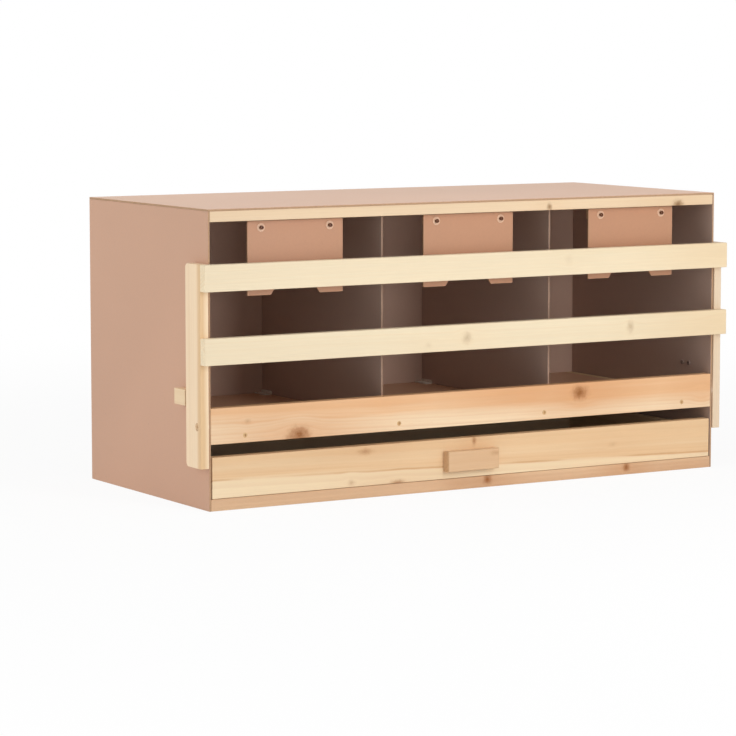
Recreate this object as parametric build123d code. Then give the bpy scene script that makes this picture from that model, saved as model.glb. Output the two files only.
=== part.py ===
from build123d import *
import math
import os

# Laying nest for hens: a board casing with three compartments, a folding perch frame,
# three hanging flaps and an egg drawer. Millimetres, +X to the right seen from the front,
# +Y to the back, +Z up, origin on the ground under the middle of the whole object.

# Casing, over the board panels
casing_width = 930.0
casing_depth = 400.0
casing_height = 450.0
board_thickness = 3.0
board_arris = 0.6

# Pine stock of the front, and the heights that stack up there from the ground
pine_thickness = 18.0
pine_arris = 1.0
bottom_rail_height = 18.0
drawer_lift = 0.5
drawer_front_height = 62.0
egg_gap_height = 19.5
sill_height = 54.0
top_rail_height = 16.0
top_rail_thickness = 13.0

# Nest floor and what carries it
floor_rise = 20.0
floor_batten_depth = 20.0
floor_cleat_width = 15.0
egg_slot_width = 220.0
egg_slot_depth = 60.0
egg_slot_radius = 10.0
egg_slot_setback = 6.0

# Drawer
drawer_side_gap = 2.0
drawer_back_gap = 1.0
drawer_wall = 12.0
drawer_side_height = 46.0
runner_width = 24.0
handle_width = 94.0
handle_height = 32.0
handle_depth = 15.0
handle_offset = -6.5
handle_lift = 12.0
finger_groove_depth = 8.0
finger_groove_height = 19.0
finger_groove_end = 9.0
handle_rounding = 2.5
handle_screw_pitch = 60.0
handle_grip_share = 0.7

# Perch frame
perch_front_gap = 2.0
washer_thickness = 1.0
arm_thickness = 14.0
arm_width = 47.0
arm_tail = 62.5
arm_reach = 242.0
arm_corner = 7.0
bar_height = 40.0
bar_thickness = 15.0
bar_gap = 69.0
dowel_diameter = 6.0
dowel_length = 22.0
dowel_pitch = 20.0

# Perch pivot and stop
pivot_diameter = 6.0
pivot_running_gap = 0.05
pivot_head_diameter = 11.0
pivot_head_height = 3.2
pivot_head_recess = 3.8
pivot_head_gap = 0.3
washer_diameter = 18.0
stop_length = 35.0
stop_height = 24.0
stop_lift = 27.5
stop_gap = 5.0

# Flaps
flap_width = 165.0
flap_height = 111.8
flap_top_gap = 1.2
flap_front_gap = 1.0
flap_notch_width = 84.0
flap_notch_height = 20.0
flap_notch_slant = 13.0
flap_corner = 2.0
eyelet_drop = 11.3
eyelet_pitch = 118.5
eyelet_bore = 5.4
eyelet_wall = 0.6
eyelet_flange_diameter = 13.5
eyelet_flange = 0.6
flange_rounding_share = 0.8
flap_block_width = 140.0
flap_block_depth = 15.0
flap_block_height = 35.0
flap_block_gap = 6.0
flap_screw_diameter = 3.0
flap_screw_head_diameter = 6.0
flap_screw_head_height = 2.2
flap_screw_standoff = 2.5

# Fasteners
screw_diameter = 3.5
screw_head_diameter = 7.5
screw_head_height = 2.4
screw_grip = 15.0
short_grip = 10.0
pivot_grip = 42.0
recess_width = 1.1
recess_share = 0.62
recess_depth_share = 0.6
head_rounding_share = 0.45
sill_screw_count = 4
sill_screw_edge = 43.0
sill_screw_lift = 11.0
brad_diameter = 1.6
brad_head_diameter = 3.0
brad_head_height = 0.8
brad_length = 16.0
sill_brad_shares = (0.2, 0.8)
brad_edge = 60.0
back_brad_edge = 120.0
runner_brad_edge = 30.0
bracket_length = 33.0
bracket_foot = 15.0
bracket_rise = 6.0
bracket_gauge = 1.5

# Places that follow from the sizes above
overall_depth = casing_depth + perch_front_gap + bar_thickness
back_y = overall_depth / 2
front_y = back_y - casing_depth
rail_back_y = front_y + pine_thickness
top_rail_back_y = front_y + top_rail_thickness
inner_back_y = back_y - board_thickness
bar_back_y = front_y - perch_front_gap
outer_x = casing_width / 2
inner_x = outer_x - board_thickness
under_top_z = casing_height - board_thickness
drawer_z = bottom_rail_height + drawer_lift
sill_z = drawer_z + drawer_front_height + egg_gap_height
floor_top_z = sill_z + floor_rise
floor_under_z = floor_top_z - board_thickness
top_rail_z = under_top_z - top_rail_height
batten_reach = inner_x - floor_cleat_width
nest_width = (2 * inner_x - 2 * board_thickness) / 3
nest_pitch = nest_width + board_thickness
nest_centres = [-nest_pitch, 0.0, nest_pitch]
divider_centres = [-nest_pitch / 2, nest_pitch / 2]
arm_inner_x = outer_x + washer_thickness
arm_outer_x = arm_inner_x + arm_thickness
arm_mid_x = arm_inner_x + arm_thickness / 2
pivot_y = front_y + pine_thickness / 2
pivot_z = sill_z + sill_height / 2
arm_back_y = bar_back_y + arm_width
arm_low_z = pivot_z - arm_tail
arm_high_z = pivot_z + arm_reach
upper_bar_z = arm_high_z - bar_height
lower_bar_z = upper_bar_z - bar_gap - bar_height
stop_y = arm_back_y + stop_gap
stop_z = pivot_z + stop_lift
flap_front_y = top_rail_back_y + flap_front_gap
flap_mid_y = flap_front_y + board_thickness / 2
flap_back_y = flap_front_y + board_thickness
flap_top_z = top_rail_z - flap_top_gap
flap_low_z = flap_top_z - flap_height
eyelet_z = top_rail_z - eyelet_drop
flap_block_y = flap_back_y + flap_block_gap
drawer_x = inner_x - drawer_side_gap
drawer_back_y = inner_back_y - drawer_back_gap
drawer_floor_z = drawer_z + board_thickness

FACING = {"-y": (90, 0, 0), "+y": (-90, 0, 0), "-x": (0, -90, 0), "+x": (0, 90, 0), "+z": (0, 0, 0)}


def slab(x, y, z):
    """A block between the low and high value given for each axis."""
    size = [high - low for low, high in (x, y, z)]
    middle = [(low + high) / 2 for low, high in (x, y, z)]
    return Pos(*middle) * Box(*size)


def eased(shape, radius):
    """Break every edge of a block, by no more than a third of its thinnest side."""
    box = shape.bounding_box().size
    return fillet(shape.edges(), min(radius, min(box.X, box.Y, box.Z) / 3))


def pine(x, y, z):
    return eased(slab(x, y, z), pine_arris)


def board(x, y, z):
    return eased(slab(x, y, z), board_arris)


def mirrored_x(shape):
    return mirror(shape, about=Plane.YZ)


def group(shapes):
    return Compound(children=list(shapes))


def placed(shape, point, facing):
    """Put a fastener whose head looks along +Z at a point, with its head looking another way."""
    return Pos(*point) * Rot(*FACING[facing]) * shape


def round_rod(diameter, low, high):
    return Pos(0, 0, (low + high) / 2) * Cylinder(diameter / 2, high - low)


def proud_screw(head_diameter, head_height, shank_diameter, length):
    """Round-head screw: the head stands on z = 0 and the shank runs down from there."""
    head = round_rod(head_diameter, 0, head_height)
    head = fillet(head.edges().group_by(Axis.Z)[-1], head_height * head_rounding_share)
    return head + round_rod(shank_diameter, -length, 0)


def flush_screw(head_diameter, head_height, shank_diameter, length):
    """Countersunk screw: its flat head ends at z = 0."""
    cone = Pos(0, 0, -head_height / 2) * Cone(shank_diameter / 2, head_diameter / 2, head_height)
    return cone + round_rod(shank_diameter, -length, -head_height)


def cross_slotted(screw, head_diameter, head_height, top):
    """Cut the driver's cross into a head whose face is at z = top."""
    reach = head_diameter * recess_share
    depth = head_height * recess_depth_share
    slot = Pos(0, 0, top - depth / 2) * Box(reach, recess_width, depth)
    return screw - slot - Rot(0, 0, 90) * slot


def brad():
    """Panel pin, its flat head ending at z = 0."""
    head = round_rod(brad_head_diameter, -brad_head_height, 0)
    return head + round_rod(brad_diameter, -brad_length, -brad_head_height)


def drilled(shape, fasteners):
    """Take the room of some fasteners out of a piece."""
    return shape - list(fasteners)


def spread(count, low, high, margin):
    """Evenly spaced places from one end to the other, with a margin at each end."""
    step = (high - low - 2 * margin) / (count - 1)
    return [low + margin + step * index for index in range(count)]


# Screws and pins, made first because the pieces are drilled for them
pivot_stack = arm_thickness - pivot_head_recess + pivot_head_gap + washer_thickness
pivot_length = pivot_stack + board_thickness + pivot_grip
pivot_seat_x = arm_outer_x - pivot_head_recess + pivot_head_gap
pivot_body = proud_screw(pivot_head_diameter, pivot_head_height, pivot_diameter, pivot_length)
pivot_cut = cross_slotted(pivot_body, pivot_head_diameter, pivot_head_height, pivot_head_height)
pivot_places = [((-pivot_seat_x, pivot_y, pivot_z), "-x"), ((pivot_seat_x, pivot_y, pivot_z), "+x")]
pivot_rooms = [placed(pivot_body, *place) for place in pivot_places]

sill_screw_length = pine_thickness + screw_grip
sill_screw_body = flush_screw(screw_head_diameter, screw_head_height, screw_diameter, sill_screw_length)
sill_screw_cut = cross_slotted(sill_screw_body, screw_head_diameter, screw_head_height, 0)
sill_screw_xs = spread(sill_screw_count, -batten_reach, batten_reach, sill_screw_edge)
sill_screw_places = [((x, front_y, sill_z + sill_screw_lift), "-y") for x in sill_screw_xs]
sill_screw_rooms = [placed(sill_screw_body, *place) for place in sill_screw_places]

flap_screw_length = flap_screw_standoff + board_thickness + flap_block_gap + short_grip
flap_screw_body = proud_screw(
    flap_screw_head_diameter, flap_screw_head_height, flap_screw_diameter, flap_screw_length
)
flap_screw_cut = cross_slotted(
    flap_screw_body, flap_screw_head_diameter, flap_screw_head_height, flap_screw_head_height
)
flap_screw_places = [
    ((centre + side * eyelet_pitch / 2, flap_front_y - flap_screw_standoff, eyelet_z), "-y")
    for centre in nest_centres
    for side in (-1, 1)
]
flap_screw_rooms = [placed(flap_screw_body, *place) for place in flap_screw_places]

stop_screw_length = board_thickness + short_grip
stop_screw_body = proud_screw(screw_head_diameter, screw_head_height, screw_diameter, stop_screw_length)
stop_screw_cut = cross_slotted(stop_screw_body, screw_head_diameter, screw_head_height, screw_head_height)
stop_screw_ys = spread(2, stop_y, stop_y + stop_length, stop_length / 4)
stop_screw_places = [
    ((side * inner_x, y, stop_z + stop_height / 2), facing)
    for side, facing in ((-1, "+x"), (1, "-x"))
    for y in stop_screw_ys
]
stop_screw_rooms = [placed(stop_screw_body, *place) for place in stop_screw_places]

handle_screw_length = pine_thickness + min(short_grip, handle_depth * handle_grip_share)
handle_screw_body = proud_screw(screw_head_diameter, screw_head_height, screw_diameter, handle_screw_length)
handle_screw_cut = cross_slotted(
    handle_screw_body, screw_head_diameter, screw_head_height, screw_head_height
)
handle_z = drawer_z + handle_lift
handle_foot_z = handle_z + finger_groove_height
handle_screw_z = (handle_foot_z + handle_z + handle_height) / 2
handle_screw_places = [
    ((handle_offset + side * handle_screw_pitch / 2, rail_back_y, handle_screw_z), "+y") for side in (-1, 1)
]
handle_screw_rooms = [placed(handle_screw_body, *place) for place in handle_screw_places]

# Brads through each side panel into the ends of the rails and into the runners and cleats
front_mid_y = front_y + pine_thickness / 2
back_mid_y = inner_back_y - pine_thickness / 2
top_rail_mid_y = front_y + top_rail_thickness / 2
top_rail_mid_z = top_rail_z + top_rail_height / 2
bottom_mid_z = bottom_rail_height / 2
cleat_mid_z = sill_z + floor_rise / 2
run_ys = spread(3, rail_back_y, inner_back_y - pine_thickness, runner_brad_edge)
side_brad_spots = [(top_rail_mid_y, top_rail_mid_z), (back_mid_y, top_rail_mid_z)]
side_brad_spots += [(front_mid_y, bottom_mid_z), (back_mid_y, bottom_mid_z)]
side_brad_spots += [(front_mid_y, sill_z + sill_height * share) for share in sill_brad_shares]
side_brad_spots += [(y, bottom_mid_z) for y in run_ys]
side_brad_spots += [(y, cleat_mid_z) for y in run_ys]
left_brads = [placed(brad(), (-outer_x, y, z), "-x") for y, z in side_brad_spots]
right_brads = [placed(brad(), (outer_x, y, z), "+x") for y, z in side_brad_spots]

# Brads down through the top panel, and forward through the back panel
edge_xs = spread(6, -inner_x, inner_x, brad_edge)
back_xs = spread(5, -inner_x, inner_x, back_brad_edge)
block_xs = [centre + side * flap_block_width / 3 for centre in nest_centres for side in (-1, 1)]
block_mid_y = flap_block_y + flap_block_depth / 2
top_brad_spots = [(x, y) for y in (top_rail_mid_y, back_mid_y) for x in edge_xs]
top_brad_spots += [(x, block_mid_y) for x in block_xs]
top_brads = [placed(brad(), (x, y, casing_height), "+z") for x, y in top_brad_spots]
floor_batten_mid_z = (sill_z + floor_under_z) / 2
back_brad_spots = [(x, z) for z in (bottom_mid_z, floor_batten_mid_z, top_rail_mid_z) for x in back_xs]
back_brads = [placed(brad(), (x, back_y, z), "+y") for x, z in back_brad_spots]

# Dowels that pin the bars to the arms, and the drawer's sides to its front
perch_dowels = []
for bar_z in (upper_bar_z, lower_bar_z):
    for side in (-1, 1):
        for step in (-1, 1):
            dowel_z = bar_z + bar_height / 2 + step * dowel_pitch / 2
            rod = round_rod(dowel_diameter, -dowel_length / 2, dowel_length / 2)
            perch_dowels.append(placed(rod, (side * arm_mid_x, bar_back_y, dowel_z), "-y"))
drawer_side_mid_x = drawer_x - drawer_wall / 2
drawer_dowels = []
for side in (-1, 1):
    for step in (-1, 1):
        dowel_z = drawer_floor_z + drawer_side_height / 2 + step * dowel_pitch / 2
        rod = round_rod(dowel_diameter, -dowel_length / 2, dowel_length / 2)
        drawer_dowels.append(placed(rod, (side * drawer_side_mid_x, rail_back_y, dowel_z), "-y"))


def side_panel():
    """Left board panel, the full depth and standing on the ground."""
    panel = board((-outer_x, -inner_x), (front_y, back_y), (0, under_top_z))
    return drilled(panel, left_brads + stop_screw_rooms[:2] + pivot_rooms[:1])


def top_panel():
    panel = board((-outer_x, outer_x), (front_y, back_y), (under_top_z, casing_height))
    return drilled(panel, top_brads)


def back_panel():
    panel = board((-inner_x, inner_x), (inner_back_y, back_y), (0, under_top_z))
    return drilled(panel, back_brads)


def divider(centre):
    """Board wall between two nests, notched at the top for the back batten."""
    wall_x = (centre - board_thickness / 2, centre + board_thickness / 2)
    wall = board(wall_x, (rail_back_y, inner_back_y), (floor_top_z, under_top_z))
    notch_y = (inner_back_y - pine_thickness, inner_back_y)
    return wall - slab(wall_x, notch_y, (top_rail_z, under_top_z))


def nest_floor():
    """One board under all three nests, with an egg slot behind the sill in each."""
    floor = board((-batten_reach, batten_reach), (rail_back_y, inner_back_y), (floor_under_z, floor_top_z))
    slot_y = rail_back_y + floor_batten_depth + egg_slot_setback + egg_slot_depth / 2
    slot_z = (floor_under_z + floor_top_z) / 2
    for centre in nest_centres:
        slot = Box(egg_slot_width, egg_slot_depth, board_thickness)
        slot = fillet(slot.edges().filter_by(Axis.Z), egg_slot_radius)
        floor -= Pos(centre, slot_y, slot_z) * slot
    return floor


def floor_cleat():
    """Left pine strip beside the floor, its top level with the floor's."""
    strip = pine(
        (-inner_x, -inner_x + floor_cleat_width), (rail_back_y, inner_back_y), (sill_z, floor_top_z)
    )
    return drilled(strip, left_brads)


def floor_batten(low_y, high_y, fasteners):
    batten = pine((-batten_reach, batten_reach), (low_y, high_y), (sill_z, floor_under_z))
    return drilled(batten, fasteners)


def cross_rail(y, z, fasteners):
    """Pine rail from one side panel to the other."""
    return drilled(pine((-inner_x, inner_x), y, z), left_brads + right_brads + fasteners)


def drawer_runner(centre):
    run_y = (rail_back_y, inner_back_y - pine_thickness)
    run_x = (centre - runner_width / 2, centre + runner_width / 2)
    return drilled(pine(run_x, run_y, (0, bottom_rail_height)), left_brads + right_brads)


def perch_stop():
    """Left stop block, above the tail of the lowered arm."""
    block_x = (-arm_outer_x + washer_thickness, -outer_x)
    block = pine(block_x, (stop_y, stop_y + stop_length), (stop_z, stop_z + stop_height))
    return drilled(block, stop_screw_rooms[:2])


def pivot_washer():
    """Left washer that keeps the arm off the side panel."""
    ring = round_rod(washer_diameter, 0, washer_thickness) - round_rod(pivot_diameter, 0, washer_thickness)
    return placed(ring, (-outer_x, pivot_y, pivot_z), "-x")


def divider_bracket(centre):
    """Small steel angle at the foot of a divider, at the back of the nest on its left."""
    corner_x = centre - board_thickness / 2
    run_y = (inner_back_y - bracket_length, inner_back_y)
    foot = slab((corner_x - bracket_foot, corner_x), run_y, (floor_top_z, floor_top_z + bracket_gauge))
    leg = slab((corner_x - bracket_gauge, corner_x), run_y, (floor_top_z, floor_top_z + bracket_rise))
    return foot + leg


def flap_block(centre):
    """Pine block under the top that carries a flap's two screws."""
    half = flap_block_width / 2
    block_y = (flap_block_y, flap_block_y + flap_block_depth)
    block = pine((centre - half, centre + half), block_y, (under_top_z - flap_block_height, under_top_z))
    return drilled(block, flap_screw_rooms + top_brads)


def flap(centre):
    """Hanging board with two feet, its eyelet holes near the top corners."""
    half = flap_width / 2
    low_half = flap_notch_width / 2
    high_half = low_half - flap_notch_slant
    notch_z = flap_low_z + flap_notch_height
    outline = Polyline(
        (-half, flap_low_z),
        (-low_half, flap_low_z),
        (-high_half, notch_z),
        (high_half, notch_z),
        (low_half, flap_low_z),
        (half, flap_low_z),
        (half, flap_top_z),
        (-half, flap_top_z),
        close=True,
    )
    plate = extrude(Plane.XZ * make_face(outline), board_thickness)
    plate = fillet(plate.edges().filter_by(Axis.Y), flap_corner)
    plate = fillet(plate.edges().filter_by(Axis.Y, reverse=True), board_arris)
    plate = Pos(centre, flap_back_y, 0) * plate
    barrel = round_rod(eyelet_bore + 2 * eyelet_wall, -board_thickness, 0)
    holes = [placed(barrel, (x, flap_front_y, eyelet_z), "-y") for x in eyelet_xs(centre)]
    return drilled(plate, holes)


def eyelet_xs(centre):
    return [centre - eyelet_pitch / 2, centre + eyelet_pitch / 2]


def flap_eyelets(centre):
    """Two steel eyelets: a barrel through the flap with a rolled flange on each face."""
    front_flange = round_rod(eyelet_flange_diameter, 0, eyelet_flange)
    front_flange = fillet(front_flange.edges().group_by(Axis.Z)[-1], eyelet_flange * flange_rounding_share)
    barrel = round_rod(eyelet_bore + 2 * eyelet_wall, -board_thickness, 0)
    back_flange = Pos(0, 0, -board_thickness) * Rot(180, 0, 0) * front_flange
    bore = round_rod(eyelet_bore, -board_thickness - eyelet_flange, eyelet_flange)
    eyelet = front_flange + barrel + back_flange - bore
    return group(placed(eyelet, (x, flap_front_y, eyelet_z), "-y") for x in eyelet_xs(centre))


def perch_arm():
    """Left arm, with rounded back corners and a sunk seat for the pivot screw's head."""
    arm = slab((-arm_outer_x, -arm_inner_x), (bar_back_y, arm_back_y), (arm_low_z, arm_high_z))
    back_corners = arm.edges().filter_by(Axis.X).group_by(Axis.Y)[-1]
    arm = fillet(back_corners, arm_corner)
    arm = fillet(arm.edges(), pine_arris)
    bore = round_rod(pivot_diameter + 2 * pivot_running_gap, -arm_thickness, 0)
    seat = round_rod(pivot_head_diameter + 2 * pivot_head_gap, -pivot_head_recess, 0)
    arm -= placed(bore + seat, (-arm_outer_x, pivot_y, pivot_z), "-x")
    return drilled(arm, perch_dowels)


def perch_bar(low_z):
    bar_y = (bar_back_y - bar_thickness, bar_back_y)
    bar = pine((-arm_outer_x, arm_outer_x), bar_y, (low_z, low_z + bar_height))
    return drilled(bar, perch_dowels)


def drawer_front():
    panel = pine((-drawer_x, drawer_x), (front_y, rail_back_y), (drawer_z, drawer_z + drawer_front_height))
    return drilled(panel, handle_screw_rooms + drawer_dowels)


def drawer_side():
    """Left side of the drawer, standing on its bottom board."""
    side_x = (-drawer_x, -drawer_x + drawer_wall)
    side_z = (drawer_floor_z, drawer_floor_z + drawer_side_height)
    return drilled(pine(side_x, (rail_back_y, drawer_back_y), side_z), drawer_dowels)


def drawer_back():
    reach = drawer_x - drawer_wall
    back_z = (drawer_floor_z, drawer_floor_z + drawer_side_height)
    return pine((-reach, reach), (drawer_back_y - drawer_wall, drawer_back_y), back_z)


def drawer_bottom():
    return board((-drawer_x, drawer_x), (rail_back_y, drawer_back_y), (drawer_z, drawer_floor_z))


def drawer_handle():
    """Pine pull with a finger groove behind its lower lip, stopped short of the ends."""
    low_x = handle_offset - handle_width / 2
    handle_x = (low_x, low_x + handle_width)
    grip = slab(handle_x, (front_y - handle_depth, front_y), (handle_z, handle_z + handle_height))
    front_edges = grip.edges().group_by(Axis.Y)[0]
    grip = fillet(front_edges, handle_rounding)
    groove_x = (low_x + finger_groove_end, low_x + handle_width - finger_groove_end)
    grip -= slab(groove_x, (front_y - finger_groove_depth, front_y), (handle_z, handle_foot_z))
    return drilled(grip, handle_screw_rooms)


def both_sides(name, shape):
    """A left piece and its mirror image on the right, under their two names."""
    return {"left_" + name: shape, "right_" + name: mirrored_x(shape)}


def casing_nodes():
    nodes = both_sides("side_panel", side_panel())
    nodes["top_panel"] = top_panel()
    nodes["back_panel"] = back_panel()
    nodes["left_divider"], nodes["right_divider"] = [divider(centre) for centre in divider_centres]
    nodes["nest_floor"] = nest_floor()
    nodes.update(both_sides("floor_cleat", floor_cleat()))
    front_batten_y = (rail_back_y, rail_back_y + floor_batten_depth)
    back_batten_y = (inner_back_y - floor_batten_depth, inner_back_y)
    nodes["floor_front_batten"] = floor_batten(*front_batten_y, sill_screw_rooms)
    nodes["floor_back_batten"] = floor_batten(*back_batten_y, back_brads)
    front_rail_y = (front_y, rail_back_y)
    back_rail_y = (inner_back_y - pine_thickness, inner_back_y)
    top_z = (top_rail_z, under_top_z)
    bottom_z = (0, bottom_rail_height)
    sill_zs = (sill_z, sill_z + sill_height)
    nodes["top_front_rail"] = cross_rail((front_y, top_rail_back_y), top_z, top_brads)
    nodes["top_back_batten"] = cross_rail(back_rail_y, top_z, top_brads + back_brads)
    nodes["front_sill"] = cross_rail(front_rail_y, sill_zs, sill_screw_rooms + pivot_rooms)
    nodes["bottom_front_rail"] = cross_rail(front_rail_y, bottom_z, [])
    nodes["bottom_back_rail"] = cross_rail(back_rail_y, bottom_z, back_brads)
    nodes.update(both_sides("drawer_runner", drawer_runner(-inner_x + runner_width / 2)))
    nodes["middle_drawer_runner"] = drawer_runner(0)
    nodes.update(both_sides("perch_stop", perch_stop()))
    nodes.update(both_sides("pivot_washer", pivot_washer()))
    nodes["left_pivot_screw"], nodes["right_pivot_screw"] = [placed(pivot_cut, *at) for at in pivot_places]
    nodes["divider_brackets"] = group(divider_bracket(centre) for centre in divider_centres)
    nodes["sill_screws"] = group(placed(sill_screw_cut, *at) for at in sill_screw_places)
    nodes["flap_screws"] = group(placed(flap_screw_cut, *at) for at in flap_screw_places)
    nodes["perch_stop_screws"] = group(placed(stop_screw_cut, *at) for at in stop_screw_places)
    nodes["panel_brads"] = group(left_brads + right_brads + top_brads + back_brads)
    return nodes


def flap_nodes():
    nodes = {}
    for name, centre in zip(("left", "middle", "right"), nest_centres):
        nodes[name + "_flap_block"] = flap_block(centre)
        nodes[name + "_flap"] = flap(centre)
        nodes[name + "_flap_eyelets"] = flap_eyelets(centre)
    return nodes


def perch_nodes():
    nodes = both_sides("perch_arm", perch_arm())
    nodes["upper_perch_bar"] = perch_bar(upper_bar_z)
    nodes["lower_perch_bar"] = perch_bar(lower_bar_z)
    nodes["perch_dowels"] = group(perch_dowels)
    return nodes


def drawer_nodes():
    nodes = both_sides("drawer_side", drawer_side())
    nodes["drawer_front"] = drawer_front()
    nodes["drawer_back"] = drawer_back()
    nodes["drawer_bottom"] = drawer_bottom()
    nodes["drawer_handle"] = drawer_handle()
    nodes["handle_screws"] = group(placed(handle_screw_cut, *at) for at in handle_screw_places)
    nodes["drawer_dowels"] = group(drawer_dowels)
    return nodes


def stop_angle():
    """How far the perch turns before the arm's back edge meets the stop block's lower front edge."""
    edge_y = stop_y - pivot_y
    edge_z = stop_z - pivot_z
    back = arm_back_y - pivot_y
    return math.degrees(math.atan2(edge_z, edge_y) + math.acos(back / math.hypot(edge_y, edge_z)))


os.makedirs("parts", exist_ok=True)
for make_nodes in (casing_nodes, flap_nodes, perch_nodes, drawer_nodes):
    for node_name, node_shape in make_nodes().items():
        export_step(node_shape, "parts/" + node_name + ".step")
print("pivot at", round(pivot_y, 3), round(pivot_z, 3), "stop angle", round(stop_angle(), 2))
print("flap hinge at", round(flap_mid_y, 3), round(eyelet_z, 3), "nest pitch", round(nest_pitch, 3))
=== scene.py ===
import math

import bpy
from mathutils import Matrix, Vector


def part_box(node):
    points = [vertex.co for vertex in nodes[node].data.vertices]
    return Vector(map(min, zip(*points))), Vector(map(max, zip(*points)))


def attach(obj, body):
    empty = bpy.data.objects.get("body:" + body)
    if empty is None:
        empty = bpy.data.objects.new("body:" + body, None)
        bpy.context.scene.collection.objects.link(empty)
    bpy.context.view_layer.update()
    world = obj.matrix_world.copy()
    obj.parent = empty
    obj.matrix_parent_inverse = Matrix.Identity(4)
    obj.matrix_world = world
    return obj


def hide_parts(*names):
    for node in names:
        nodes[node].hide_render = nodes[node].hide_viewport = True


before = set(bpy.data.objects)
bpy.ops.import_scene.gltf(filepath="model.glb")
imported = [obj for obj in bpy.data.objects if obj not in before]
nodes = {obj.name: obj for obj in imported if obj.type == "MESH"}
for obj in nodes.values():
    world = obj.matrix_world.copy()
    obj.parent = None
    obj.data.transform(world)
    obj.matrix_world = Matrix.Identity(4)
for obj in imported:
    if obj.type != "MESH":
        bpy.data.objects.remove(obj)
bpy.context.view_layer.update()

bpy.ops.object.select_all(action="DESELECT")


# Casing panels: 3 mm hardboard, smooth and matt pinkish brown outside, with the print of the
# press screen on the duller inner face. They are sawn to size and pinned to the pine rails.
def tone(red, green, blue):
    """A colour as it looks on a screen, 0 to 255, as the linear value that a socket takes."""
    steps = [value / 255 for value in (red, green, blue)]
    linear = [step / 12.92 if step <= 0.04045 else ((step + 0.055) / 1.055) ** 2.4 for step in steps]
    return (*linear, 1.0)


def add(tree, kind, values, **settings):
    """A node whose sockets are set, or linked where the value is another node's output."""
    made = tree.nodes.new(kind)
    for setting, value in settings.items():
        setattr(made, setting, value)
    for socket, value in values.items():
        if isinstance(value, bpy.types.NodeSocket):
            tree.links.new(value, made.inputs[socket])
        else:
            made.inputs[socket].default_value = value
    return made


def maths(tree, operation, *values):
    return add(tree, "ShaderNodeMath", dict(enumerate(values)), operation=operation).outputs[0]


def vectors(tree, operation, *values):
    made = add(tree, "ShaderNodeVectorMath", dict(enumerate(values)), operation=operation)
    return made.outputs["Value" if operation in ("DOT_PRODUCT", "LENGTH") else "Vector"]


def scaled(tree, vector, factor):
    return add(tree, "ShaderNodeVectorMath", {0: vector, "Scale": factor}, operation="SCALE").outputs[0]


def split(tree, vector):
    return add(tree, "ShaderNodeSeparateXYZ", {0: vector}).outputs


def ramp(tree, value, low, high, start=0.0, stop=1.0):
    """An eased run from start to stop while the value goes from low to high."""
    values = {"Value": value, "From Min": low, "From Max": high, "To Min": start, "To Max": stop}
    return add(tree, "ShaderNodeMapRange", values, interpolation_type="SMOOTHSTEP").outputs[0]


def line(tree, value, start, stop):
    """A straight run from start to stop while the value goes from 0 to 1."""
    return add(tree, "ShaderNodeMapRange", {"Value": value, "To Min": start, "To Max": stop}).outputs[0]


def noise(tree, vector, per_metre, detail=2.0):
    """Noise whose grain is counted per metre along each axis."""
    stretched = vectors(tree, "MULTIPLY", vector, per_metre)
    return add(tree, "ShaderNodeTexNoise", {"Vector": stretched, "Scale": 1.0, "Detail": detail}).outputs


def mix(tree, share, first, second):
    return add(tree, "ShaderNodeMix", {0: share, 6: first, 7: second}, data_type="RGBA").outputs[2]


def shaded(tree, colour, value, saturation=1.0):
    values = {"Color": colour, "Value": value, "Saturation": saturation}
    return add(tree, "ShaderNodeHueSaturation", values).outputs[0]


def group(name, inputs, outputs):
    """An empty shader node group with named sockets, and its two end nodes."""
    tree = bpy.data.node_groups.new(name, "ShaderNodeTree")
    for label, value in inputs.items():
        kind = "NodeSocketFloat"
        if isinstance(value, tuple):
            kind = "NodeSocketColor" if len(value) == 4 else "NodeSocketVector"
        tree.interface.new_socket(label, in_out="INPUT", socket_type=kind).default_value = value
    for label, kind in outputs.items():
        tree.interface.new_socket(label, in_out="OUTPUT", socket_type="NodeSocket" + kind)
    return tree, tree.nodes.new("NodeGroupInput").outputs, tree.nodes.new("NodeGroupOutput").inputs


surface = {"Color": "Color", "Roughness": "Float", "Height": "Float"}


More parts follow.
